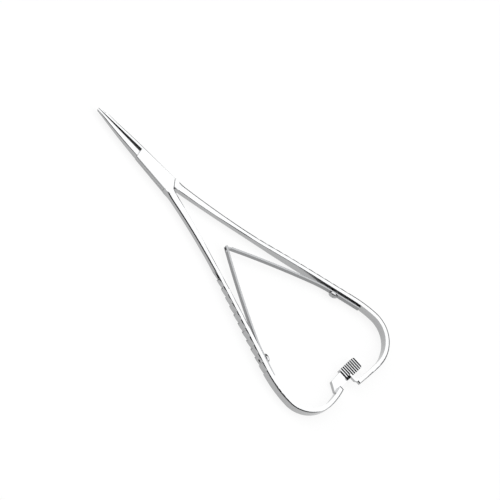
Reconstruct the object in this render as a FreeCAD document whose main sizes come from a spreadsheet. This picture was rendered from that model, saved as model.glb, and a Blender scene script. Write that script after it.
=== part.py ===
# Palm-grip needle holder with a box lock, two leaf springs and a catch between the handle ends.
# Lengths are in millimetres and angles in degrees. Every outline is drawn about the pivot axis,
# with +X towards the handles, +Y towards the right handle and +Z up from the middle plane.
# The finished pieces are then placed so that the origin lies under the middle of the instrument.
import FreeCAD, Part
import math
import os
import re
import Sketcher

os.makedirs("parts", exist_ok=True)
doc = FreeCAD.newDocument("needle_holder")
Vector = FreeCAD.Vector

# Driving dimensions, one named cell each

DIMENSIONS = [
    # reach and span, from the pivot
    ("jaw_reach", 38.1),
    ("left_bow_reach", 129.8),
    ("right_bow_reach", 132.1),
    ("left_half_span", 29.8),
    ("right_half_span", 31.75),
    # jaws
    ("jaw_tip_width", 0.85),
    ("jaw_tip_depth", 1.4),
    ("jaw_nose_radius", 0.6),
    ("jaw_side_radius", 400.0),
    ("jaw_tip_gap", 0.06),
    ("right_jaw_root", 1.2),
    ("left_jaw_root", 0.1),
    # box lock
    ("box_front", 11.5),
    ("box_rear", 8.3),
    ("box_front_width", 2.7),
    ("box_rear_width", 3.6),
    ("box_front_depth", 4.1),
    ("box_rear_depth", 4.9),
    ("front_slant", 1.0),
    ("rear_slant", 2.75),
    ("wall_slant", 3.4),
    ("tongue_depth", 1.9),
    ("tongue_play", 0.05),
    ("shoulder_play", 0.08),
    ("wall_play", 0.15),
    ("pin_diameter", 2.6),
    ("pin_play", 0.04),
    # arms
    ("arm_thickness", 2.15),
    ("shank_start", 15.0),
    ("shank_end", 42.0),
    ("shank_depth", 3.5),
    ("grip_start", 60.0),
    ("left_grip_rise", 15.5),
    ("right_grip_rise", 16.2),
    ("grip_full_depth", 80.0),
    ("grip_depth", 6.0),
    ("grip_angle", 17.4),
    ("shoulder_radius", 60.0),
    ("crotch_gap", 0.35),
    ("left_bow_radius", 14.6),
    ("right_bow_radius", 16.8),
    ("left_end_radius", 30.0),
    ("right_end_radius", 150.0),
    ("left_end_y", 5.8),
    ("right_end_y", 1.7),
    ("outer_rounding", 0.8),
    # ribs on the outside of the grips
    ("rib_pitch", 4.25),
    ("rib_height", 0.5),
    ("rib_count", 12),
    ("rib_start", 50.5),
    # rack on the left handle
    ("plate_depth", 2.7),
    ("plate_inner", 121.6),
    ("plate_slant_y", 6.2),
    ("plate_root_y", 8.5),
    ("rack_inner", 120.8),
    ("rack_outer", 126.7),
    ("rack_start_y", 0.2),
    ("rack_end_y", 9.4),
    ("rack_rise", 1.0),
    ("tooth_pitch", 1.11),
    ("tooth_height", 0.5),
    ("tooth_count", 8),
    # pawl on the right handle
    ("pawl_length", 4.0),
    ("pawl_width", 0.95),
    ("pawl_drop", 0.8),
    ("pawl_lift", 0.15),
    ("pawl_taper_y", 21.0),
    # leaf springs
    ("leaf_thickness", 0.85),
    ("leaf_depth", 3.2),
    ("left_leaf_heel", 102.5),
    ("right_leaf_heel", 107.0),
    ("leaf_bend", 92.0),
    ("leaf_bend_radius", 60.0),
    ("leaf_blade_radius", 510.0),
    ("leaf_tip_x", 47.4),
    ("leaf_tip_y", 0.75),
    ("leaf_overlap", 1.9),
    ("leaf_fork_length", 2.6),
    ("leaf_tongue_depth", 1.2),
    ("leaf_fork_play", 0.2),
    ("leaf_seat_height", 0.4),
    ("leaf_seat_diameter", 3.8),
    # screws that hold the leaves
    ("screw_station", 93.3),
    ("screw_head_diameter", 4.2),
    ("screw_head_height", 1.5),
    ("screw_diameter", 1.8),
    ("screw_end_recess", 0.7),
    ("screw_slot_width", 0.5),
    ("screw_slot_depth", 0.5),
    ("screw_play", 0.03),
]

sheet = doc.addObject("Spreadsheet::Sheet", "Sizes")
for row, (alias, number) in enumerate(DIMENSIONS, start=1):
    sheet.set(f"A{row}", alias)
    sheet.set(f"B{row}", str(number))
    sheet.setAlias(f"B{row}", alias)
doc.recompute()

ALIASES = {alias for alias, number in DIMENSIONS}
WORD = re.compile(r"[a-z][a-z_]+")


def cells(expression):
    """The expression with each alias written as a reference to its cell."""
    return WORD.sub(lambda word: f"Sizes.{word[0]}" if word[0] in ALIASES else word[0], expression)


def value(expression):
    """The number that the expression gives now."""
    return float(sheet.evalExpression(cells(str(expression))))


# Helpers for bodies, sketches and features

def new_body(name):
    body = doc.addObject("PartDesign::Body", name)
    body.Label = name
    return body


def origin_plane(body, role):
    return next(item for item in body.Origin.OriginFeatures if item.Role == role)


def new_sketch(body, name, plane="XY_Plane", height="0"):
    """A sketch on one of the body's own planes, lifted along the plane's normal."""
    sketch = body.newObject("Sketcher::SketchObject", name)
    sketch.AttachmentSupport = [(origin_plane(body, plane), "")]
    sketch.MapMode = "FlatFace"
    if height != "0":
        sketch.setExpression("AttachmentOffset.Base.z", cells(height))
    return sketch


def end_nearest(sketch, edge, point):
    start = sketch.getPoint(edge, 1)
    return 1 if start.distanceToPoint(point) < sketch.getPoint(edge, 2).distanceToPoint(point) else 2


def draw_outline(sketch, corners):
    """A closed outline. A corner is (x, y), or (x, y, radius, side) where an arc leaves it:
    side is 1 for an arc that bulges to the left of the way to the next corner, else -1.
    Where the radius works out negative, the arc bulges the other way."""
    points = [Vector(value(corner[0]), value(corner[1]), 0) for corner in corners]
    first = sketch.GeometryCount
    for index, corner in enumerate(corners):
        start = points[index]
        end = points[(index + 1) % len(points)]
        if len(corner) == 2:
            sketch.addGeometry(Part.LineSegment(start, end), False)
            continue
        chord = end - start
        radius = value(corner[2])
        rise = abs(radius) - math.sqrt(radius ** 2 - chord.Length ** 2 / 4)
        side = math.copysign(corner[3], corner[3] * radius)
        left = Vector(-chord.y, chord.x, 0).normalize()
        middle = (start + end) / 2 + left * (rise * side)
        sketch.addGeometry(Part.Arc(start, middle, end), False)
    for index, corner in enumerate(corners):
        edge = first + index
        before = first + (index - 1) % len(corners)
        here = end_nearest(sketch, edge, points[index])
        there = end_nearest(sketch, before, points[index])
        sketch.addConstraint(Sketcher.Constraint("Coincident", before, there, edge, here))
        for axis, expression in (("X", corner[0]), ("Y", corner[1])):
            label = f"{axis.lower()}{edge}"
            distance = Sketcher.Constraint(f"Distance{axis}", -1, 1, edge, here, value(expression))
            number = sketch.addConstraint(distance)
            sketch.renameConstraint(number, label)
            sketch.setExpression(f"Constraints.{label}", cells(str(expression)))
        if len(corner) == 4:
            number = sketch.addConstraint(Sketcher.Constraint("Radius", edge, abs(value(corner[2]))))
            sketch.renameConstraint(number, f"radius{edge}")
            sketch.setExpression(f"Constraints.radius{edge}", f"abs({cells(str(corner[2]))})")


def draw_circle(sketch, diameter):
    sketch.addGeometry(Part.Circle(Vector(0, 0, 0), Vector(0, 0, 1), value(diameter) / 2), False)
    sketch.addConstraint(Sketcher.Constraint("Coincident", 0, 3, -1, 1))
    number = sketch.addConstraint(Sketcher.Constraint("Diameter", 0, value(diameter)))
    sketch.renameConstraint(number, "across")
    sketch.setExpression("Constraints.across", cells(diameter))


def add_pad(body, sketch, length, midplane=True):
    pad = body.newObject("PartDesign::Pad", f"{sketch.Name}_pad")
    pad.Profile = sketch
    pad.SideType = "Symmetric" if midplane else "One side"
    pad.setExpression("Length", cells(length))
    return pad


def add_pocket(body, sketch, length=None, midplane=True, reverse=False):
    """Cuts to a length, or right through both ways where none is given."""
    pocket = body.newObject("PartDesign::Pocket", f"{sketch.Name}_pocket")
    pocket.Profile = sketch
    pocket.SideType = "Symmetric" if midplane else "One side"
    pocket.Reversed = reverse
    if length is None:
        pocket.Type = "ThroughAll"
    else:
        pocket.setExpression("Length", cells(length))
    return pocket


def edges_where(feature, test):
    """Names of the feature's edges whose ends and middle all pass the test."""
    names = []
    for number, edge in enumerate(feature.Shape.Edges, start=1):
        middle = edge.valueAt((edge.FirstParameter + edge.LastParameter) / 2)
        points = [vertex.Point for vertex in edge.Vertexes] + [middle]
        if all(test(point) for point in points):
            names.append(f"Edge{number}")
    return names


def is_upright(feature, name):
    start, end = (vertex.Point for vertex in feature.Shape.getElement(name).Vertexes)
    return math.hypot(end.x - start.x, end.y - start.y) < 0.01


def add_fillet(body, base, names, radius):
    fillet = body.newObject("PartDesign::Fillet", f"{base.Name}_rounding")
    fillet.Base = (base, names)
    fillet.setExpression("Radius", cells(radius))
    return fillet


def mirrored(corners, side):
    """The corners for the right side, or mirrored across the middle for the left."""
    if side > 0:
        return corners
    flipped = []
    for corner in corners:
        y = f"-({corner[1]})"
        flipped.append((corner[0], y) + ((corner[2], -corner[3]) if len(corner) == 4 else ()))
    return flipped


# Places that several outlines share

BOX_TAPER = "((box_rear_width - box_front_width) / (box_front + box_rear))"
CROTCH_X = "(box_rear + rear_slant)"
WALL_SLOPE = "((box_rear_width - right_jaw_root) / wall_slant)"
REAR_SLOPE = "((box_rear_width - crotch_gap) / rear_slant)"
SHOULDER_SLOPE = "((box_rear_width + crotch_gap) / rear_slant)"
SLOT_DEPTH = "(tongue_depth + 2 * tongue_play)"
RACK_TOP = "(plate_depth + rack_rise - grip_depth / 2)"


def box_half_width(x):
    return f"(box_front_width + {BOX_TAPER} * (({x}) + box_front))"


class Arm:
    """The lines of one arm, written for the right side."""

    def __init__(self, name):
        self.reach = f"{name}_bow_reach"
        self.radius = f"{name}_bow_radius"
        self.rise = f"{name}_grip_rise"
        self.end_radius = f"{name}_end_radius"
        self.end_y = f"{name}_end_y"
        self.leaf_heel = f"{name}_leaf_heel"
        self.centre_x = f"({self.reach} - {self.radius})"
        self.centre_y = f"({name}_half_span - {self.radius})"
        across = (f"(shoulder_radius + (grip_start - {self.centre_x}) * sin(grip_angle)"
                  f" - ({self.rise} - {self.centre_y}) * cos(grip_angle))")
        along = f"sqrt((shoulder_radius - {self.radius}) ^ 2 - {across} ^ 2)"
        self.shoulder_x = f"({self.centre_x} + {across} * sin(grip_angle) - {along} * cos(grip_angle))"
        self.shoulder_y = f"({self.centre_y} - {across} * cos(grip_angle) - {along} * sin(grip_angle))"

    def grip_end(self, inset):
        """Where the straight grip runs into the shoulder, on the face that lies inset mm inside."""
        x = f"({self.shoulder_x} - (shoulder_radius - {inset}) * sin(grip_angle))"
        y = f"({self.shoulder_y} + (shoulder_radius - {inset}) * cos(grip_angle))"
        return x, y

    def bow_start(self, inset):
        """Where the shoulder runs into the bow, on the face that lies inset mm inside."""
        share = f"((shoulder_radius - {inset}) / (shoulder_radius - {self.radius}))"
        x = f"({self.shoulder_x} + ({self.centre_x} - {self.shoulder_x}) * {share})"
        y = f"({self.shoulder_y} + ({self.centre_y} - {self.shoulder_y}) * {share})"
        return x, y

    def grip_y(self, x, inset):
        """The height of the grip's face above the middle line."""
        return f"({self.rise} + (({x}) - grip_start) * tan(grip_angle) - ({inset}) / cos(grip_angle))"

    def shank_radius(self, x, y, inset):
        """The arc from a point by the box that runs tangent into the straight grip."""
        along = f"(grip_start - {x})"
        across = f"({self.grip_y('grip_start', inset)} - {y})"
        return (f"(({along} ^ 2 + {across} ^ 2)"
                f" / (2 * ({along} * sin(grip_angle) - {across} * cos(grip_angle))))")

    def end_x(self, inset):
        radius = f"({self.end_radius} - {inset})"
        return (f"({self.reach} - {self.end_radius}"
                f" + sqrt({radius} ^ 2 - ({self.centre_y} - {self.end_y}) ^ 2))")

    def corners(self, outer_start, inner_end):
        """From the box along the outside, round the bow to the end and back along the inside."""
        thick = "arm_thickness"
        outer_y = self.grip_y("grip_start", "0")
        inner_y = self.grip_y("grip_start", thick)
        return [
            (*outer_start, self.shank_radius(*outer_start, "0"), -1),
            ("grip_start", outer_y),
            (*self.grip_end("0"), "shoulder_radius", 1),
            (*self.bow_start("0"), self.radius, 1),
            (self.reach, self.centre_y, self.end_radius, 1),
            (self.end_x("0"), self.end_y),
            (self.end_x(thick), self.end_y, f"{self.end_radius} - {thick}", -1),
            (f"{self.reach} - {thick}", self.centre_y, f"{self.radius} - {thick}", -1),
            (*self.bow_start(thick), f"shoulder_radius - {thick}", -1),
            self.grip_end(thick),
            ("grip_start", inner_y, self.shank_radius(*inner_end, thick), 1),
            inner_end,
        ]

    def screw_place(self, inset):
        """The point on the screw's axis that lies inset mm inside the grip's outer face."""
        x = f"(screw_station + ({inset}) * sin(grip_angle))"
        y = f"({self.grip_y('screw_station', '0')} - ({inset}) * cos(grip_angle))"
        return x, y


left_arm = Arm("left")
right_arm = Arm("right")


# Features that both halves have

def trim_depth(body, name):
    """Thins the jaws, the box and the shank from above and below, seen from the side."""
    ahead = "jaw_reach + 2"
    over = "grip_depth"
    swell_x = "((grip_full_depth - shank_end) / 2)"
    swell_z = "((grip_depth - shank_depth) / 4)"
    swell_radius = f"(({swell_x} ^ 2 + {swell_z} ^ 2) / (2 * {swell_z}))"
    neck_x = f"(shank_start - {CROTCH_X})"
    neck_z = "((box_rear_depth - shank_depth) / 2)"
    neck_radius = f"(({neck_x} ^ 2 + {neck_z} ^ 2) / (2 * {neck_z}))"
    profile = [
        (f"-({ahead})", "jaw_tip_depth / 2"),
        ("-jaw_reach", "jaw_tip_depth / 2"),
        ("-box_front", "box_front_depth / 2"),
        (CROTCH_X, "box_rear_depth / 2", neck_radius, -1),
        ("shank_start", "shank_depth / 2"),
        ("shank_end", "shank_depth / 2", swell_radius, -1),
        (f"(shank_end + {swell_x})", f"(shank_depth / 2 + {swell_z})", swell_radius, 1),
        ("grip_full_depth", "grip_depth / 2"),
        ("grip_full_depth", over),
        (f"-({ahead})", over),
    ]
    sketch = new_sketch(body, f"{name}_depth", "XZ_Plane")
    draw_outline(sketch, profile)
    draw_outline(sketch, mirrored(profile, -1))
    return add_pocket(body, sketch)


def cut_pin_hole(body, name, diameter):
    sketch = new_sketch(body, f"{name}_pin_hole")
    draw_circle(sketch, diameter)
    return add_pocket(body, sketch)


def place_across_grip(feature, arm, side, inset):
    """Turns a cylinder's axis square to the grip, starting inset mm inside its outer face."""
    x, y = arm.screw_place(inset)
    turn = value("grip_angle")
    feature.AttachmentSupport = [(origin_plane(feature.getParentGeoFeatureGroup(), "XZ_Plane"), "")]
    feature.MapMode = "FlatFace"
    angle = turn if side < 0 else 180 - turn
    feature.AttachmentOffset = FreeCAD.Placement(Vector(), FreeCAD.Rotation(Vector(0, -1, 0), angle))
    feature.setExpression("AttachmentOffset.Base.x", cells(x))
    feature.setExpression("AttachmentOffset.Base.z", cells(f"{-side} * {y}"))


def add_screw_seat(body, name, arm, side):
    """The round seat that the leaf lies on, and the hole for its screw through seat and grip."""
    seat = body.newObject("PartDesign::AdditiveCylinder", f"{name}_leaf_seat")
    place_across_grip(seat, arm, side, "arm_thickness + leaf_seat_height")
    seat.setExpression("Radius", cells("leaf_seat_diameter / 2"))
    seat.setExpression("Height", cells("leaf_seat_height + arm_thickness / 2"))
    hole = body.newObject("PartDesign::SubtractiveCylinder", f"{name}_screw_hole")
    place_across_grip(hole, arm, side, "arm_thickness + leaf_seat_height + 1")
    hole.setExpression("Radius", cells("screw_diameter / 2 + screw_play"))
    hole.setExpression("Height", cells("leaf_seat_height + arm_thickness + 2"))
    return hole


def add_ribs(body, name, arm, side):
    """Sawtooth notches across the outside of the grip, each with its steep side to the jaws."""
    sketch = new_sketch(body, f"{name}_rib")
    angle = value("grip_angle") * side
    sketch.AttachmentOffset = FreeCAD.Placement(Vector(), FreeCAD.Rotation(Vector(0, 0, 1), angle))
    sketch.setExpression("AttachmentOffset.Base.x", cells("rib_start"))
    sketch.setExpression("AttachmentOffset.Base.y", cells(f"{side} * {arm.grip_y('rib_start', '0')}"))
    clear = "0.5"
    draw_outline(sketch, mirrored([
        ("rib_pitch * 0.04", clear),
        ("rib_pitch * 0.04", "0.0001"),
        ("rib_pitch * 0.82", "-rib_height"),
        ("rib_pitch * 1.0", clear),
    ], side))
    notch = add_pocket(body, sketch)
    doc.recompute()
    pattern = body.newObject("PartDesign::LinearPattern", f"{name}_ribs")
    pattern.Originals = [notch]
    pattern.Direction = (sketch, ["H_Axis"])
    pattern.setExpression("Length", cells("rib_pitch * (rib_count - 1)"))
    pattern.setExpression("Occurrences", cells("rib_count"))
    body.Tip = pattern
    return pattern


def round_outside(body, base, arm, side):
    """Rounds the long outer edges of shank, grip and bow, above and below."""
    doc.recompute()
    bow_x = value(arm.bow_start("0")[0])
    bow_centre = Vector(value(arm.centre_x), side * value(arm.centre_y), 0)
    bow_middle = value(f"{arm.radius} - arm_thickness / 2")
    shoulder_start = value(arm.grip_end("0")[0])
    shoulder_centre = Vector(value(arm.shoulder_x), side * value(arm.shoulder_y), 0)
    shoulder_middle = value("shoulder_radius - arm_thickness / 2")
    grip_x = value("grip_start")
    grip_middle = value(arm.grip_y("grip_start", "arm_thickness / 2"))
    root_x = value(CROTCH_X)
    root_middle = value("(box_rear_width + crotch_gap) / 2")

    def outside(point):
        if side * point.y <= 0 or point.x < root_x:
            return False
        if point.x > bow_x:
            return math.hypot(point.x - bow_centre.x, point.y - bow_centre.y) > bow_middle
        if point.x > shoulder_start:
            far = math.hypot(point.x - shoulder_centre.x, point.y - shoulder_centre.y)
            return far > shoulder_middle
        if point.x >= grip_x:
            return side * point.y > value(arm.grip_y(str(point.x), "arm_thickness / 2"))
        share = (point.x - root_x) / (grip_x - root_x)
        return side * point.y > root_middle + share * (grip_middle - root_middle)

    def order(name):
        ends = [vertex.Point for vertex in base.Shape.getElement(name).Vertexes]
        return ends[0].z < 0, sum(end.Length for end in ends)

    names = [name for name in edges_where(base, outside) if not is_upright(base, name)]
    return add_fillet(body, base, sorted(names, key=order), "outer_rounding")


def reverse_corners(corners):
    """The same open run of corners walked the other way."""
    turned = []
    for index in range(len(corners) - 1, -1, -1):
        point = corners[index][:2]
        before = corners[index - 1] if index > 0 else ()
        if len(before) == 4:
            turned.append((*point, before[2], -before[3]))
        else:
            turned.append(point)
    return turned


def volume_now(body):
    doc.recompute()
    return body.Shape.Volume


def check_cut(body, feature, before):
    """A cut that points away from the solid takes nothing off, so the volumes are compared."""
    doc.recompute()
    if not feature.Shape.Volume < before - 0.001:
        raise RuntimeError(f"{feature.Name} cuts nothing from {body.Name}")


# Box half: right jaw, box with its slot, left handle and rack

def make_box_arm():
    body = new_body("box_arm")
    box_corner = ("box_rear", "box_rear_width")
    handle = mirrored(left_arm.corners(box_corner, (CROTCH_X, "crotch_gap")), -1)
    shoulder_x = "(front_slant - box_front)"
    outline = new_sketch(body, "box_arm_outline")
    draw_outline(outline, [
        ("-jaw_reach", "jaw_tip_gap / 2"),
        ("-jaw_reach", "jaw_tip_width - jaw_nose_radius", "jaw_nose_radius", 1),
        ("jaw_nose_radius - jaw_reach", "jaw_tip_width", "jaw_side_radius", 1),
        ("-box_front", "box_front_width"),
        box_corner,
        *reverse_corners(handle),
        (shoulder_x, f"-{box_half_width(shoulder_x)}"),
        ("-box_front", "right_jaw_root"),
    ])
    add_pad(body, outline, "grip_depth")
    depth = trim_depth(body, "box_arm")
    round_outside(body, depth, left_arm, -1)

    slot = new_sketch(body, "box_slot")
    behind = f"({CROTCH_X} + rear_slant)"
    aside = "(box_rear_width + 2 * tongue_depth)"
    draw_outline(slot, [
        ("-box_front", "right_jaw_root"),
        ("wall_slant - box_front", "box_rear_width"),
        (behind, "box_rear_width"),
        (CROTCH_X, "-crotch_gap"),
        ("box_rear - rear_slant / 2", "-(box_rear_width + (box_rear_width - crotch_gap) / 2)"),
        ("-(box_front + 1)", f"-{aside}"),
        ("-(box_front + 1)", "right_jaw_root - 0.1"),
    ])
    before = volume_now(body)
    check_cut(body, add_pocket(body, slot, SLOT_DEPTH), before)
    cut_pin_hole(body, "box_arm", "pin_diameter")

    plate = new_sketch(body, "rack_plate", height="-grip_depth / 2")
    root_x = "(left_bow_reach - arm_thickness)"
    draw_outline(plate, [
        ("plate_inner", "rack_start_y"),
        ("plate_inner + 0.4", "-plate_slant_y"),
        (f"{root_x} - 1.5", "-plate_root_y"),
        (f"{root_x} + 0.3", "-plate_root_y"),
        (f"{left_arm.end_x('arm_thickness')} + 0.4", "-left_end_y"),
        ("rack_outer", "-left_end_y + 1"),
        ("rack_outer", "rack_start_y"),
    ])
    add_pad(body, plate, "plate_depth", midplane=False)
    block = new_sketch(body, "rack_block", height="-grip_depth / 2")
    nose = "1.2"
    draw_outline(block, [
        ("rack_inner", "rack_start_y"),
        ("rack_outer", "rack_start_y"),
        ("rack_outer", f"rack_end_y - {nose}", nose, -1),
        (f"rack_outer - {nose}", "rack_end_y"),
        (f"rack_inner + {nose}", "rack_end_y", nose, -1),
        ("rack_inner", f"rack_end_y - {nose}"),
    ])
    add_pad(body, block, "plate_depth + rack_rise", midplane=False)

    tooth = new_sketch(body, "rack_tooth", "YZ_Plane")
    sketch_y = "(rack_start_y + tooth_pitch * 0.45)"
    draw_outline(tooth, [
        (sketch_y, f"{RACK_TOP} + 0.2"),
        (sketch_y, f"{RACK_TOP} - tooth_height"),
        (f"{sketch_y} + tooth_pitch * 0.75", f"{RACK_TOP} + 0.001"),
        (f"{sketch_y} + tooth_pitch * 0.75", f"{RACK_TOP} + 0.2"),
    ])
    before = volume_now(body)
    notch = add_pocket(body, tooth)
    check_cut(body, notch, before)
    teeth = body.newObject("PartDesign::LinearPattern", "rack_teeth")
    teeth.Originals = [notch]
    teeth.Direction = (tooth, ["H_Axis"])
    teeth.setExpression("Length", cells("tooth_pitch * (tooth_count - 1)"))
    teeth.setExpression("Occurrences", cells("tooth_count"))
    body.Tip = teeth

    add_screw_seat(body, "left", left_arm, -1)
    doc.recompute()
    add_ribs(body, "left", left_arm, -1)
    return body


# Tongue half: left jaw, tongue through the box, right handle and pawl

def make_tongue_arm():
    body = new_body("tongue_arm")
    shoulder_x = "(front_slant - box_front - shoulder_play)"
    jaw = new_sketch(body, "left_jaw_outline")
    jaw_root = ("-(box_front + shoulder_play)", "-left_jaw_root")
    draw_outline(jaw, [
        jaw_root,
        ("-jaw_reach", "-jaw_tip_gap / 2"),
        ("-jaw_reach", "jaw_nose_radius - jaw_tip_width", "jaw_nose_radius", -1),
        ("jaw_nose_radius - jaw_reach", "-jaw_tip_width", "jaw_side_radius", -1),
        ("-box_front", "-box_front_width"),
        (shoulder_x, f"-{box_half_width(shoulder_x)}"),
    ])
    add_pad(body, jaw, "grip_depth")

    slope_x = f"((crotch_gap * 2) / {SHOULDER_SLOPE})"
    crotch = (f"({CROTCH_X} + shoulder_play - {slope_x})", "crotch_gap")
    shoulder = ("(box_rear + shoulder_play)", "box_rear_width")
    handle = new_sketch(body, "right_handle_outline")
    draw_outline(handle, right_arm.corners(shoulder, crotch))
    add_pad(body, handle, "grip_depth")
    depth = trim_depth(body, "tongue_arm")
    round_outside(body, depth, right_arm, 1)

    tongue = new_sketch(body, "tongue_outline")
    front_rise = f"(box_front_width - right_jaw_root + wall_play) / ({WALL_SLOPE} - {BOX_TAPER})"
    front_x = f"({front_rise} - box_front)"
    rear_x = f"({CROTCH_X} - wall_play)"
    rear_fall = (f"(({box_half_width(rear_x)} - crotch_gap) / ({REAR_SLOPE} + {BOX_TAPER}))")
    left_x = f"({rear_x} - {rear_fall})"
    front_left_x = "(front_slant - box_front)"
    draw_outline(tongue, [
        jaw_root,
        ("-box_front", "right_jaw_root - wall_play"),
        (front_x, box_half_width(front_x)),
        ("box_rear", "box_rear_width"),
        (f"{CROTCH_X} + 1", "box_rear_width"),
        (f"{CROTCH_X} + 1", "crotch_gap + 0.8"),
        (rear_x, "-crotch_gap"),
        (left_x, f"-{box_half_width(left_x)}"),
        (front_left_x, f"-{box_half_width(front_left_x)}"),
        ("-(box_front + 0.6)", "-box_front_width * 0.75"),
    ])
    add_pad(body, tongue, "tongue_depth")
    before = volume_now(body)
    check_cut(body, cut_pin_hole(body, "tongue_arm", "pin_diameter + 2 * pin_play"), before)

    nose_base = f"({RACK_TOP} + pawl_lift)"
    taper = new_sketch(body, "pawl_taper", "YZ_Plane", "right_bow_reach + 1")
    draw_outline(taper, [
        ("right_end_y - 1", nose_base),
        ("right_end_y + 2 * pawl_width", nose_base),
        ("pawl_taper_y", "-(grip_depth / 2 + 0.001)"),
        ("pawl_taper_y", "-grip_depth"),
        ("right_end_y - 1", "-grip_depth"),
    ])
    doc.recompute()
    before = volume_now(body)
    check_cut(body, add_pocket(body, taper, "right_bow_radius - arm_thickness", midplane=False), before)
    nose = new_sketch(body, "pawl_nose", height=nose_base)
    inner_x = right_arm.end_x("arm_thickness")
    tip_x = f"({inner_x} - pawl_length)"
    nose_y = "(right_end_y - pawl_drop)"
    draw_outline(nose, [
        (f"{inner_x} + 0.5", "right_end_y"),
        (f"{inner_x} + 0.5", "right_end_y + pawl_width"),
        (inner_x, "right_end_y + pawl_width"),
        (f"{inner_x} - 1", f"{nose_y} + pawl_width"),
        (tip_x, f"{nose_y} + pawl_width"),
        (tip_x, nose_y),
        (f"{inner_x} - 0.4", nose_y),
    ])
    add_pad(body, nose, f"grip_depth / 2 - {nose_base}", midplane=False)

    add_screw_seat(body, "right", right_arm, 1)
    doc.recompute()
    add_ribs(body, "right", right_arm, 1)
    return body


def make_pin():
    body = new_body("pivot_pin")
    sketch = new_sketch(body, "pin_circle")
    draw_circle(sketch, "pin_diameter")
    share = f"box_front / (box_front + {CROTCH_X})"
    add_pad(body, sketch, f"box_front_depth + (box_rear_depth - box_front_depth) * {share}")
    return body


# Leaf springs: a heel that lies along the grip, a bend and a long bowed blade

class Leaf:
    """The lines of one leaf, written for the right side."""

    def __init__(self, arm):
        self.arm = arm
        self.inset = "(arm_thickness + leaf_seat_height + leaf_thickness / 2)"
        bend_y = arm.grip_y("leaf_bend", self.inset)
        self.bend_x = "(leaf_bend + leaf_bend_radius * sin(grip_angle))"
        self.bend_y = f"({bend_y} - leaf_bend_radius * cos(grip_angle))"
        along = f"(leaf_tip_x - {self.bend_x})"
        across = f"(leaf_tip_y - {self.bend_y})"
        less = "(leaf_bend_radius - leaf_blade_radius)"
        far = f"({along} ^ 2 + {across} ^ 2)"
        share = f"(({far} + {less} ^ 2 - leaf_blade_radius ^ 2) / (2 * {less} * sqrt({far})))"
        angle = value(f"-atan2({along}; {across}) - acos({share})")
        self.end_sine = math.sin(math.radians(angle))
        self.end_cosine = math.cos(math.radians(angle))
        blade_x = f"({self.bend_x} - {less} * {self.end_sine})"
        blade_y = f"({self.bend_y} + {less} * {self.end_cosine})"
        self.tip_sine = value(f"({blade_x} - leaf_tip_x) / leaf_blade_radius")
        self.tip_cosine = value(f"(leaf_tip_y - {blade_y}) / leaf_blade_radius")

    def heel(self, side):
        """A corner of the heel; side is + for the face next to the grip and - for the other."""
        return (f"({self.arm.leaf_heel} - {side}leaf_thickness / 2 * sin(grip_angle))",
                f"({self.arm.grip_y(self.arm.leaf_heel, self.inset)}"
                f" + {side}leaf_thickness / 2 * cos(grip_angle))")

    def bend(self, side):
        return (f"(leaf_bend - {side}leaf_thickness / 2 * sin(grip_angle))",
                f"({self.arm.grip_y('leaf_bend', self.inset)}"
                f" + {side}leaf_thickness / 2 * cos(grip_angle))")

    def bend_end(self, side):
        radius = f"(leaf_bend_radius + {side}leaf_thickness / 2)"
        return (f"({self.bend_x} - {radius} * {self.end_sine})",
                f"({self.bend_y} + {radius} * {self.end_cosine})")

    def tip(self, side, beyond="0"):
        """A point beside the middle line's tip, or further along the way the tip heads."""
        return (f"(leaf_tip_x - {side}leaf_thickness / 2 * {self.tip_sine}"
                f" - {beyond} * {self.tip_cosine})",
                f"(leaf_tip_y + {side}leaf_thickness / 2 * {self.tip_cosine}"
                f" - {beyond} * {self.tip_sine})")

    def corners(self):
        return [
            self.heel("+"),
            (*self.bend("+"), "leaf_bend_radius + leaf_thickness / 2", -1),
            (*self.bend_end("+"), "leaf_blade_radius + leaf_thickness / 2", -1),
            self.tip("+"),
            self.tip("+", "leaf_overlap"),
            self.tip("-", "leaf_overlap"),
            (*self.tip("-"), "leaf_blade_radius - leaf_thickness / 2", 1),
            (*self.bend_end("-"), "leaf_bend_radius - leaf_thickness / 2", 1),
            self.bend("-"),
            self.heel("-"),
        ]

    def fork_span(self):
        """From ahead of the tip to the inner end of the fork, along the instrument."""
        end_x = f"(leaf_tip_x - leaf_overlap * {self.tip_cosine})"
        return f"({end_x} - 1)", f"({end_x} + leaf_fork_length * {self.tip_cosine})"


def rectangle(low_x, high_x, low_y, high_y):
    return [(low_x, low_y), (high_x, low_y), (high_x, high_y), (low_x, high_y)]


def make_leaf(name, arm, side):
    """The left leaf ends in a fork and the right leaf in a tongue that passes through it."""
    body = new_body(name)
    leaf = Leaf(arm)
    outline = new_sketch(body, f"{name}_outline")
    draw_outline(outline, mirrored(leaf.corners(), side))
    add_pad(body, outline, "leaf_depth")
    ahead, behind = leaf.fork_span()
    tip = new_sketch(body, f"{name}_tip", "XZ_Plane")
    if side < 0:
        half = "(leaf_tongue_depth / 2 + leaf_fork_play)"
        draw_outline(tip, rectangle(ahead, behind, f"-{half}", half))
    else:
        half = "(leaf_tongue_depth / 2)"
        draw_outline(tip, rectangle(ahead, behind, half, "leaf_depth"))
        draw_outline(tip, rectangle(ahead, behind, "-leaf_depth", f"-{half}"))
    before = volume_now(body)
    check_cut(body, add_pocket(body, tip), before)
    hole = body.newObject("PartDesign::SubtractiveCylinder", f"{name}_screw_hole")
    place_across_grip(hole, arm, side, "arm_thickness + leaf_seat_height + leaf_thickness + 1")
    hole.setExpression("Radius", cells("screw_diameter / 2 + screw_play"))
    hole.setExpression("Height", cells("leaf_thickness + 2"))
    return body


# Screws: a low domed head on the leaf and a shank through leaf, seat and grip

LEAF_TOP = "(arm_thickness + leaf_seat_height + leaf_thickness)"


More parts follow.
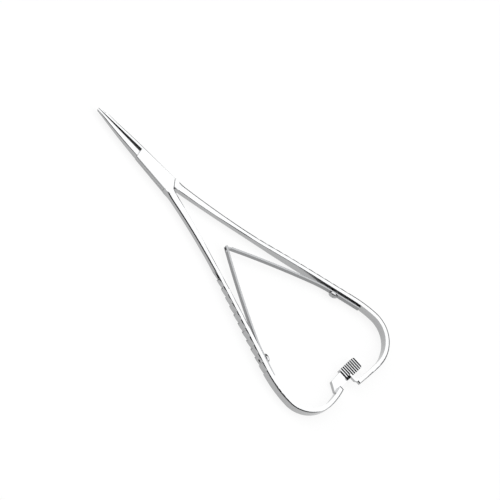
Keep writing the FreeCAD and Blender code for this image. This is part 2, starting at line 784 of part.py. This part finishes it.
def make_screw(name, arm, side):
    """Drawn with its axis upright from the grip's outer face, then placed by the body."""
    body = new_body(name)
    profile = new_sketch(body, f"{name}_profile", "XZ_Plane")
    head_top = f"({LEAF_TOP} + screw_head_height)"
    rim = f"({LEAF_TOP} + screw_head_height * 0.55)"
    head = "screw_head_diameter / 2"
    draw_outline(profile, [
        ("0", "screw_end_recess"),
        ("screw_diameter / 2", "screw_end_recess"),
        ("screw_diameter / 2", LEAF_TOP),
        (head, LEAF_TOP),
        (head, rim, f"{head} * 1.15", -1),
        ("0", head_top),
    ])
    turned = body.newObject("PartDesign::Revolution", f"{name}_turned")
    turned.Profile = profile
    turned.ReferenceAxis = (profile, ["V_Axis"])
    turned.Angle = 360
    slot = new_sketch(body, f"{name}_slot", "XZ_Plane")
    half = "(screw_slot_width / 2)"
    draw_outline(slot, rectangle(f"-{half}", half, f"{head_top} - screw_slot_depth", f"{head_top} + 1"))
    before = volume_now(body)
    check_cut(body, add_pocket(body, slot), before)
    return body


def place_all(screws):
    """Puts the origin under the middle of the whole, level with the grips' undersides."""
    shift_x = "(jaw_reach - right_bow_reach) / 2"
    shift_y = "(left_half_span - right_half_span) / 2"
    for body in doc.findObjects("PartDesign::Body"):
        body.setExpression("Placement.Base.x", cells(shift_x))
        body.setExpression("Placement.Base.y", cells(shift_y))
        body.setExpression("Placement.Base.z", cells("grip_depth / 2"))
    turn = math.radians(value("grip_angle"))
    for body, arm, side in screws:
        x, y = arm.screw_place("0")
        along = Vector(math.cos(turn), side * math.sin(turn), 0)
        inward = Vector(math.sin(turn), -side * math.cos(turn), 0)
        body.Placement.Rotation = FreeCAD.Rotation(along, Vector(0, 0, side), inward, "ZXY")
        body.setExpression("Placement.Base.x", cells(f"{shift_x} + {x}"))
        body.setExpression("Placement.Base.y", cells(f"{shift_y} + {side} * {y}"))


make_box_arm()
make_tongue_arm()
make_pin()
make_leaf("left_spring_leaf", left_arm, -1)
make_leaf("right_spring_leaf", right_arm, 1)
left_screw = make_screw("left_spring_screw", left_arm, -1)
right_screw = make_screw("right_spring_screw", right_arm, 1)
place_all([(left_screw, left_arm, -1), (right_screw, right_arm, 1)])
doc.recompute()

for item in doc.Objects:
    if "Invalid" in item.State or "Error" in item.State:
        raise RuntimeError(f"{item.Name} could not be worked out: {item.getStatusString()}")
for body in doc.findObjects("PartDesign::Body"):
    shape = body.Shape
    if shape.isNull() or not shape.isValid() or len(shape.Solids) != 1:
        raise RuntimeError(f"{body.Label} isn't one sound solid")
    shape.exportStep(f"parts/{body.Label}.step")
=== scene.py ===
import math
import bpy
from mathutils import Matrix, Vector


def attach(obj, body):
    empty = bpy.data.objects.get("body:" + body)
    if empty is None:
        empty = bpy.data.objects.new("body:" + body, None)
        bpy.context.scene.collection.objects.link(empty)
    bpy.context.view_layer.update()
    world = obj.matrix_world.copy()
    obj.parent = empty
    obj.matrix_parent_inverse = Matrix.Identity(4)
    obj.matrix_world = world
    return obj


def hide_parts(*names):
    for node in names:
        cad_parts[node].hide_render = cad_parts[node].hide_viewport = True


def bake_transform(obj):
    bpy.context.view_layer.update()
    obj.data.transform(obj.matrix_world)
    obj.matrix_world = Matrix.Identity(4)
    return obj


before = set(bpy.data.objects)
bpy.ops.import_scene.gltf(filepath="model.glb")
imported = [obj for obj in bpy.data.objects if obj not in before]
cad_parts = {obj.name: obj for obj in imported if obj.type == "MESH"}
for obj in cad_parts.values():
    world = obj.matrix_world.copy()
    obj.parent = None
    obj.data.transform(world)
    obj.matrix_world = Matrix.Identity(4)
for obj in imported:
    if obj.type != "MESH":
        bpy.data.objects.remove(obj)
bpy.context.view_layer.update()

MM = 0.001
UP = Vector((0, 0, 1))
HAIR = 0.1 * MM

# The hinge's middle, the box's ends, the jaws' tips and where their closing faces end
PIVOT = Vector((-47.0, -0.975, 3.0)) * MM
BOX_FRONT_X = PIVOT.x - 11.5 * MM
BOX_REAR_X = PIVOT.x + 7.6 * MM
JAW_TIP_X = PIVOT.x - 38.1 * MM
JAW_END_X = BOX_FRONT_X - HAIR

# The rack's block on the left handle, and its teeth
RACK_LOW = PIVOT + Vector((120.8, 0.2, 0.18)) * MM
RACK_HIGH = PIVOT + Vector((126.7, 9.4, 0.7)) * MM
RACK_MARGIN = Vector((0.4, 0.3, 0)) * MM
RACK_CORNER = 1.2 * MM
TOOTH_START_Y = PIVOT.y + 0.7 * MM
TOOTH_PITCH = 1.11 * MM
TOOTH_LENGTH = 0.66 * MM
TOOTH_DEPTH = 0.45 * MM
TOOTH_COUNT = 8

# The notches across the outside of the left grip
GRIP_ANGLE = math.radians(17.4)
GRIP_START_X = 60.0 * MM
GRIP_RISE = 15.5 * MM
RIB_START_X = 50.5 * MM
RIB_PITCH = 4.25 * MM
RIB_DEPTH = 0.72 * MM
RIB_COUNT = 12
RIB_BOTTOM_Z = -5.0 * MM
RIB_TOP_Z = 1.0 * MM
NOTCH_START, NOTCH_END, NOTCH_LEAN = 0.04, 0.97, 0.12

# Roundings, and how the meshes are merged and shaded
OUTER_ROUNDING = 0.42 * MM
INNER_ROUNDING = 0.16 * MM
SCREW_ROUNDING = 0.08 * MM
LEAF_ROUNDING = 0.1 * MM
TOOTH_ROUNDING = 0.03 * MM
PIN_REACH = 1.5 * MM
JAW_WIDENING = 0.04
BOW_START_X = 45.0 * MM
MERGE_DISTANCE = 0.002 * MM
FLAT_ANGLE = math.radians(0.05)
SHARP_ANGLE = math.radians(30)
SMOOTH_ANGLE = math.radians(40)
BROAD_FACE_WEIGHT = 80

# Where the leaves' free ends are, and where the leaves start to bend as the handles open
LEAF_TIP_X = 0.4 * MM
LEAF_BEND_X = 45.0 * MM
BEND_CUTS = 24

# Steel
# Painted shade: near-black tones for the gap between the closed jaws and for the rack's grooves
JAW_GAP_SHADE_TONE, GROOVE_SHADE_TONE = 0.02, 0.03
WEAR = 0.06
GLOSS_SPREAD = 0.05
PATCH_SCALE = 60.0
GRAIN_SHARE = 0.6
RELIEF = 0.08
RELIEF_DEPTH = 0.02 * MM

# Floor
FLOOR_WIDTH = 4.0
FLOOR_DROP = 0.1 * MM
FLOOR_TONE = 0.9
FLOOR_CLEAR_LEVEL = 1.03
FLOOR_CLEAR_SHARE = 0.85

# Light: a broad soft band of the sky, high on the far side and running along the instrument
BAND_DIRECTION = Vector((0, 0.276, 0.961))
BAND_EDGE = (math.cos(math.radians(27)), math.cos(math.radians(15)))
BAND_LEVEL = 2.5
SIDE_REACH = (-0.3, 0.3)
NEAR_LEVEL, FAR_LEVEL = 0.05, 0.1
END_REACH = (0.75, 0.95)
END_LEVEL = 0.3

# Camera, leaning back from straight above and turned about its own axis
PIXEL = 0.4474 * MM
PICTURE_WIDTH = 500
TURN_COSINE, TURN_SINE = 0.677, 0.736
LEAN = math.radians(25)
LOOK_AT = Vector((7.3, 6.785, 3.0)) * MM
DISTANCE = 1.5
SENSOR_WIDTH = 36.0


# Meshes

def select_only(*objects):
    bpy.ops.object.select_all(action="DESELECT")
    for item in objects:
        item.select_set(True)
    bpy.context.view_layer.objects.active = objects[0]


def apply_modifiers(piece):
    select_only(piece)
    for modifier in list(piece.modifiers):
        bpy.ops.object.modifier_apply(modifier=modifier.name)


def merged_copy(name, new_name):
    """A copy of a solid from the frame, its loose triangles merged into whole faces."""
    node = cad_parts[name]
    mesh = node.data.copy()
    mesh.transform(node.matrix_world)
    piece = bpy.data.objects.new(new_name, mesh)
    bpy.context.scene.collection.objects.link(piece)
    mesh.materials.clear()
    select_only(piece)
    if mesh.has_custom_normals:
        bpy.ops.mesh.customdata_custom_splitnormals_clear()
    bpy.ops.object.mode_set(mode="EDIT")
    bpy.ops.mesh.select_all(action="SELECT")
    bpy.ops.mesh.remove_doubles(threshold=MERGE_DISTANCE)
    bpy.ops.mesh.dissolve_limited(angle_limit=FLAT_ANGLE)
    bpy.ops.mesh.normals_make_consistent(inside=False)
    bpy.ops.object.mode_set(mode="OBJECT")
    return piece


def round_edges(piece, width, segments=2, share_of=None):
    """Rounds the sharp edges; share_of says what weight each edge has, given both its ends."""
    select_only(piece)
    bpy.ops.object.mode_set(mode="EDIT")
    bpy.ops.mesh.select_mode(type="EDGE")
    bpy.ops.mesh.select_all(action="DESELECT")
    bpy.ops.mesh.edges_select_sharp(sharpness=SHARP_ANGLE)
    bpy.ops.object.mode_set(mode="OBJECT")
    mesh = piece.data
    weights = mesh.attributes.new("bevel_weight_edge", "FLOAT", "EDGE")
    for edge in mesh.edges:
        if edge.select:
            start, end = (mesh.vertices[number].co for number in edge.vertices)
            weights.data[edge.index].value = share_of(start, end) if share_of else 1.0
    rounding = piece.modifiers.new("rounding", "BEVEL")
    rounding.limit_method = "WEIGHT"
    rounding.width = width
    rounding.segments = segments
    rounding.offset_type = "ABSOLUTE"
    rounding.use_clamp_overlap = False
    apply_modifiers(piece)


def shade(piece):
    """Smooth across the roundings, while the broad faces keep their own flat shade."""
    select_only(piece)
    bpy.ops.object.shade_smooth_by_angle(angle=SMOOTH_ANGLE)
    flatten = piece.modifiers.new("flat_faces_stay_flat", "WEIGHTED_NORMAL")
    flatten.mode = "FACE_AREA"
    flatten.weight = BROAD_FACE_WEIGHT
    flatten.keep_sharp = True
    apply_modifiers(piece)


def box_piece(name, low, high):
    """A box between two corners, with its place in its mesh."""
    bpy.ops.object.select_all(action="DESELECT")
    bpy.ops.mesh.primitive_cube_add(size=1.0, location=(low + high) / 2)
    piece = bpy.context.object
    piece.name = name
    piece.scale = high - low
    bpy.ops.object.transform_apply(location=True, rotation=False, scale=True)
    return piece


def start_choosing(piece, kind):
    """Leaves the piece in object mode with nothing chosen, ready to choose vertices or edges."""
    select_only(piece)
    bpy.ops.object.mode_set(mode="EDIT")
    bpy.ops.mesh.select_mode(type=kind)
    bpy.ops.mesh.select_all(action="DESELECT")
    bpy.ops.object.mode_set(mode="OBJECT")


def choose_vertices(piece, test):
    """Selects the vertices that pass the test, ready for an operator in edit mode."""
    start_choosing(piece, "VERT")
    for vertex in piece.data.vertices:
        vertex.select = test(vertex.co)
    bpy.ops.object.mode_set(mode="EDIT")


def choose_edges(piece, test):
    """Selects the edges whose two ends pass the test, ready for an operator in edit mode."""
    start_choosing(piece, "EDGE")
    for edge in piece.data.edges:
        edge.select = test(*(piece.data.vertices[number].co for number in edge.vertices))
    bpy.ops.object.mode_set(mode="EDIT")


def subtract(piece, cutter):
    cut = piece.modifiers.new("cut", "BOOLEAN")
    cut.operation = "DIFFERENCE"
    cut.solver = "EXACT"
    cut.object = cutter
    apply_modifiers(piece)
    bpy.data.objects.remove(cutter)


def repeat(piece, count, step):
    """Makes a row of the piece."""
    row = piece.modifiers.new("row", "ARRAY")
    row.count = count
    row.use_relative_offset = False
    row.use_constant_offset = True
    row.constant_offset_displace = step
    apply_modifiers(piece)


def deepen_left_ribs(arm):
    """Cuts the notches of the left grip, each with its steep wall facing the jaws."""
    cutter = box_piece("cutter", Vector((NOTCH_START * RIB_PITCH, -5 * HAIR, RIB_BOTTOM_Z)),
                       Vector((NOTCH_END * RIB_PITCH, 0, RIB_TOP_Z)))
    middle = RIB_PITCH / 2
    choose_vertices(cutter, lambda point: point.x > middle and abs(point.y) < HAIR)
    bpy.ops.transform.translate(value=Vector((-NOTCH_LEAN * RIB_PITCH, RIB_DEPTH, 0)))
    bpy.ops.object.mode_set(mode="OBJECT")
    repeat(cutter, RIB_COUNT, (RIB_PITCH, 0, 0))
    rise = GRIP_RISE + (RIB_START_X - GRIP_START_X) * math.tan(GRIP_ANGLE)
    cutter.rotation_euler.z = -GRIP_ANGLE
    cutter.location = PIVOT + Vector((RIB_START_X, -rise, 0))
    select_only(cutter)
    bpy.ops.object.transform_apply(location=True, rotation=True, scale=True)
    subtract(arm, cutter)


def make_rack_teeth(arm):
    """Teeth that let the catch slide in as the handles close, and hold it from sliding back."""
    subtract(arm, box_piece("cutter", RACK_LOW - RACK_MARGIN, RACK_HIGH + RACK_MARGIN + UP * MM))
    teeth = box_piece("rack_teeth", RACK_LOW, RACK_HIGH)
    choose_edges(teeth, lambda start, end: (min(start.y, end.y) > RACK_HIGH.y - HAIR
                                            and abs(start.x - end.x) < HAIR))
    bpy.ops.mesh.bevel(offset=RACK_CORNER, segments=6, affect="EDGES")
    bpy.ops.object.mode_set(mode="OBJECT")
    low = Vector((RACK_LOW.x - 5 * HAIR, TOOTH_START_Y, RACK_HIGH.z - TOOTH_DEPTH))
    high = Vector((RACK_HIGH.x + 5 * HAIR, TOOTH_START_Y + TOOTH_LENGTH, RACK_HIGH.z + 4 * HAIR))
    cutter = box_piece("cutter", low, high)
    middle = TOOTH_START_Y + TOOTH_LENGTH / 2
    choose_vertices(cutter, lambda point: point.y < middle and point.z < RACK_HIGH.z)
    bpy.ops.transform.translate(value=UP * (TOOTH_DEPTH - HAIR / 10))
    bpy.ops.object.mode_set(mode="OBJECT")
    repeat(cutter, TOOTH_COUNT, (0, TOOTH_PITCH, 0))
    subtract(teeth, cutter)
    round_edges(teeth, TOOTH_ROUNDING)
    shade(teeth)
    return teeth


def cut_across(piece, places):
    """Cuts the mesh into short lengths along x."""
    select_only(piece)
    bpy.ops.object.mode_set(mode="EDIT")
    for place in places:
        bpy.ops.mesh.select_all(action="SELECT")
        bpy.ops.mesh.bisect(plane_co=(place, 0, 0), plane_no=(1, 0, 0))
    bpy.ops.object.mode_set(mode="OBJECT")


# Materials

def math_node(tree, operation, first, second):
    node = tree.nodes.new("ShaderNodeMath")
    node.operation = operation
    for socket, source in zip(node.inputs, (first, second)):
        if isinstance(source, (int, float)):
            socket.default_value = source
        else:
            tree.links.new(source, socket)
    return node.outputs["Value"]


def noise(tree, place, scale, detail):
    node = tree.nodes.new("ShaderNodeTexNoise")
    node.inputs["Scale"].default_value = scale
    node.inputs["Detail"].default_value = detail
    tree.links.new(place, node.inputs["Vector"])
    return node.outputs["Fac"]


def steel(name, colour, roughness, grain_scale, stretch=(1, 1, 1), painted_shades=None):
    """Satin steel: a fine grain in gloss and relief, broad faint patches of wear, and darker
    tones laid over the colour as painted shade.
    """
    material = bpy.data.materials.new(name)
    material.use_nodes = True
    tree = material.node_tree
    links = tree.links
    shader = tree.nodes["Principled BSDF"]
    shader.inputs["Metallic"].default_value = 1.0
    place = tree.nodes.new("ShaderNodeTexCoord")
    mapping = tree.nodes.new("ShaderNodeMapping")
    mapping.inputs["Scale"].default_value = stretch
    links.new(place.outputs["Object"], mapping.inputs["Vector"])
    grain = noise(tree, mapping.outputs["Vector"], grain_scale, 5.0)
    patches = noise(tree, place.outputs["Object"], PATCH_SCALE, 2.0)
    mixed = math_node(tree, "ADD", math_node(tree, "MULTIPLY", grain, GRAIN_SHARE),
                      math_node(tree, "MULTIPLY", patches, 1 - GRAIN_SHARE))
    gloss = tree.nodes.new("ShaderNodeMapRange")
    gloss.inputs["From Min"].default_value = 0.3
    gloss.inputs["From Max"].default_value = 0.7
    gloss.inputs["To Min"].default_value = roughness - GLOSS_SPREAD
    gloss.inputs["To Max"].default_value = roughness + GLOSS_SPREAD
    links.new(mixed, gloss.inputs["Value"])
    links.new(gloss.outputs["Result"], shader.inputs["Roughness"])
    tone = tree.nodes.new("ShaderNodeMix")
    tone.data_type = "RGBA"
    tone.inputs["A"].default_value = (*[part * (1 - WEAR) for part in colour], 1)
    tone.inputs["B"].default_value = (*[part * (1 + WEAR) for part in colour], 1)
    links.new(mixed, tone.inputs["Factor"])
    colour_now = tone.outputs["Result"]
    # Painted shade: each pair darkens the colour to its tone where its share is one
    for share, dark in painted_shades(tree, place) if painted_shades else ():
        mix = tree.nodes.new("ShaderNodeMix")
        mix.data_type = "RGBA"
        links.new(share, mix.inputs["Factor"])
        links.new(colour_now, mix.inputs["A"])
        mix.inputs["B"].default_value = (dark, dark, dark * 1.03, 1)
        colour_now = mix.outputs["Result"]
    links.new(colour_now, shader.inputs["Base Color"])
    bump = tree.nodes.new("ShaderNodeBump")
    bump.inputs["Strength"].default_value = RELIEF
    bump.inputs["Distance"].default_value = RELIEF_DEPTH
    links.new(grain, bump.inputs["Height"])
    links.new(bump.outputs["Normal"], shader.inputs["Normal"])
    return material


def split(tree, vector):
    """The three parts of a vector, by the names of their axes."""
    node = tree.nodes.new("ShaderNodeSeparateXYZ")
    tree.links.new(vector, node.inputs["Vector"])
    return node.outputs


def all_of(tree, *conditions):
    """One where every condition is one, and zero elsewhere."""
    both = conditions[0]
    for condition in conditions[1:]:
        both = math_node(tree, "MULTIPLY", both, condition)
    return both


def arm_painted_shades(tree, place):
    """Painted shade, as (share, tone) pairs: near black on the jaws' inner faces, for the dark
    gap between the closed jaws and the hatching of those faces, and in the grooves between the
    rack's teeth.
    """
    spot = split(tree, place.outputs["Object"])
    facing = split(tree, place.outputs["Normal"])
    off_middle = math_node(tree, "SUBTRACT", spot["Y"], PIVOT.y - HAIR)
    away = math_node(tree, "MULTIPLY", off_middle, facing["Y"])
    # Painted shade: the jaws' inner faces near black, for the dark gap between the closed jaws;
    # it also stands for the hatching of those faces
    jaw_gap_shade = all_of(
        tree,
        math_node(tree, "GREATER_THAN", math_node(tree, "ABSOLUTE", facing["Y"], 0), 0.8),
        math_node(tree, "LESS_THAN", math_node(tree, "ABSOLUTE", off_middle, 0), 1.4 * MM),
        math_node(tree, "LESS_THAN", spot["X"], JAW_END_X),
        math_node(tree, "LESS_THAN", away, 0.35 * MM),
    )
    # Painted shade in the grooves between the rack's teeth
    groove_shade = all_of(
        tree,
        math_node(tree, "GREATER_THAN", spot["Z"], RACK_HIGH.z - TOOTH_DEPTH - 0.05 * MM),
        math_node(tree, "LESS_THAN", spot["Z"], RACK_HIGH.z - 0.06 * MM),
        math_node(tree, "GREATER_THAN", spot["X"], RACK_LOW.x - HAIR),
        math_node(tree, "GREATER_THAN", spot["Y"], RACK_LOW.y + HAIR),
        math_node(tree, "LESS_THAN", spot["Y"], RACK_HIGH.y - 0.02 * MM),
    )
    return [(jaw_gap_shade, JAW_GAP_SHADE_TONE), (groove_shade, GROOVE_SHADE_TONE)]


# The arms' steel carries the painted shade of the jaw gap and of the rack's grooves
arm_steel = steel("satin_arm_steel", (0.41, 0.413, 0.417), 0.2, 2500.0, painted_shades=arm_painted_shades)
leaf_steel = steel("spring_leaf_steel", (0.23, 0.233, 0.238), 0.2, 1800.0, stretch=(0.15, 1, 1))
screw_steel = steel("bright_screw_steel", (0.34, 0.343, 0.347), 0.1, 3000.0)


# Pieces

def arm_edge_share(start, end):
    """Full weight down the outside of the jaws and the box, none at the pin or on the bows."""
    middle, run = (start + end) / 2, end - start
    to_pin = math.hypot(middle.x - PIVOT.x, middle.y - PIVOT.y)
    if to_pin < PIN_REACH or middle.x > BOW_START_X:
        return 0.0
    outside = 5 * HAIR + max(0.0, middle.x - JAW_TIP_X) * JAW_WIDENING
    outer = (middle.x < BOX_REAR_X and abs(run.x) > 1.5 * abs(run.y)
             and abs(middle.y - PIVOT.y) > outside and abs(middle.z - PIVOT.z) > 1.0 * MM)
    return 1.0 if outer else INNER_ROUNDING / OUTER_ROUNDING


def finish_piece(piece, name, body, material):
    piece.data.materials.append(material)
    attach(piece, body)
    if name:
        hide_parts(name)


def soften_arm(arm):
    round_edges(arm, OUTER_ROUNDING, segments=3, share_of=arm_edge_share)
    shade(arm)


left_handle = merged_copy("box_arm", "jaw_box_and_left_handle")
deepen_left_ribs(left_handle)
rack_teeth = make_rack_teeth(left_handle)
soften_arm(left_handle)
finish_piece(left_handle, "box_arm", "box_half", arm_steel)
finish_piece(rack_teeth, None, "box_half", arm_steel)

right_handle = merged_copy("tongue_arm", "jaw_tongue_and_right_handle")
soften_arm(right_handle)
finish_piece(right_handle, "tongue_arm", "tongue_half", arm_steel)

pin = merged_copy("pivot_pin", "box_lock_pin")
shade(pin)
finish_piece(pin, "pivot_pin", "box_half", arm_steel)

for side, body in (("left", "box_half"), ("right", "tongue_half")):
    screw = merged_copy(f"{side}_spring_screw", f"{side}_leaf_screw")
    round_edges(screw, SCREW_ROUNDING)
    shade(screw)
    finish_piece(screw, f"{side}_spring_screw", body, screw_steel)

for side, own, other, tip_y, bend_y in (
    ("left", "box_half", "tongue_half", -1.725 * MM, -23.385 * MM),
    ("right", "tongue_half", "box_half", -0.225 * MM, 22.14 * MM),
):
    leaf = merged_copy(f"{side}_spring_leaf", f"{side}_leaf_spring")
    round_edges(leaf, LEAF_ROUNDING)
    span = LEAF_BEND_X - LEAF_TIP_X
    cut_across(leaf, [LEAF_TIP_X + span * step / BEND_CUTS for step in range(1, BEND_CUTS + 1)])
    shade(leaf)
    leaf.data.materials.append(leaf_steel)
    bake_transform(leaf)
    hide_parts(f"{side}_spring_leaf")


# Floor

def white_floor():
    """Matt white that still shows a soft part of the instrument's shadow."""
    material = bpy.data.materials.new("white_floor")
    material.use_nodes = True
    tree = material.node_tree
    matt = tree.nodes["Principled BSDF"]
    matt.inputs["Base Color"].default_value = (FLOOR_TONE, FLOOR_TONE, FLOOR_TONE, 1)
    matt.inputs["Roughness"].default_value = 0.9
    matt.inputs["Specular IOR Level"].default_value = 0.0
    clear = tree.nodes.new("ShaderNodeEmission")
    clear.inputs["Color"].default_value = (1, 1, 1, 1)
    clear.inputs["Strength"].default_value = FLOOR_CLEAR_LEVEL
    path = tree.nodes.new("ShaderNodeLightPath")
    seen = math_node(tree, "ADD", path.outputs["Is Camera Ray"], path.outputs["Is Glossy Ray"])
    seen = math_node(tree, "ADD", seen, path.outputs["Is Transmission Ray"])
    share = math_node(tree, "MULTIPLY", seen, FLOOR_CLEAR_SHARE)
    mix = tree.nodes.new("ShaderNodeMixShader")
    tree.links.new(share, mix.inputs["Fac"])
    tree.links.new(matt.outputs["BSDF"], mix.inputs[1])
    tree.links.new(clear.outputs["Emission"], mix.inputs[2])
    tree.links.new(mix.outputs["Shader"], tree.nodes["Material Output"].inputs["Surface"])
    return material


bpy.ops.object.select_all(action="DESELECT")
bpy.ops.mesh.primitive_plane_add(size=FLOOR_WIDTH, location=(0, 0, -FLOOR_DROP))
floor = bpy.context.object
floor.name = "floor"
floor.data.materials.append(white_floor())


# Light

def level_between(tree, source, reach, levels):
    """The first level below the reach, the second above it, and a smooth change between."""
    node = tree.nodes.new("ShaderNodeMapRange")
    node.interpolation_type = "SMOOTHSTEP"
    tree.links.new(source, node.inputs["Value"])
    names = ("From Min", "From Max", "To Min", "To Max")
    for name, number in zip(names, (*reach, *levels)):
        node.inputs[name].default_value = number
    return node.outputs["Result"]


world = bpy.data.worlds.new("studio")
bpy.context.scene.world = world
world.use_nodes = True
sky = world.node_tree
direction = sky.nodes.new("ShaderNodeTexCoord")
toward = sky.nodes.new("ShaderNodeVectorMath")
toward.operation = "DOT_PRODUCT"
toward.inputs[1].default_value = BAND_DIRECTION
sky.links.new(direction.outputs["Generated"], toward.inputs[0])
axes = split(sky, direction.outputs["Generated"])
across = math_node(sky, "SUBTRACT", 1.0, math_node(sky, "MULTIPLY", axes["X"], axes["X"]))
turned = math_node(sky, "DIVIDE", toward.outputs["Value"], math_node(sky, "SQRT", across, 0))
band = level_between(sky, turned, BAND_EDGE, (0.0, BAND_LEVEL))
sides = level_between(sky, axes["Y"], SIDE_REACH, (NEAR_LEVEL, FAR_LEVEL))
along = math_node(sky, "ABSOLUTE", axes["X"], 0)
ends = level_between(sky, along, END_REACH, (0.0, END_LEVEL))
level = math_node(sky, "ADD", band, math_node(sky, "ADD", sides, ends))
sky.links.new(level, sky.nodes["Background"].inputs["Strength"])
sky.nodes["Background"].inputs["Color"].default_value = (1, 1, 1, 1)

# Camera

right = Vector((TURN_COSINE, TURN_SINE * math.cos(LEAN), TURN_SINE * math.sin(LEAN))).normalized()
up = Vector((-TURN_SINE, TURN_COSINE * math.cos(LEAN), TURN_COSINE * math.sin(LEAN))).normalized()
back = right.cross(up).normalized()
camera_data = bpy.data.cameras.new("camera")
camera_data.sensor_width = SENSOR_WIDTH
camera_data.lens = SENSOR_WIDTH * DISTANCE / (PICTURE_WIDTH * PIXEL)
camera_data.clip_start = 0.01
camera_data.clip_end = 10.0
camera = bpy.data.objects.new("camera", camera_data)
bpy.context.scene.collection.objects.link(camera)
turn = Matrix((right, up, back)).transposed().to_4x4()
camera.matrix_world = Matrix.Translation(LOOK_AT + back * DISTANCE) @ turn
bpy.context.scene.camera = camera
bpy.context.scene.view_settings.view_transform = "Standard"
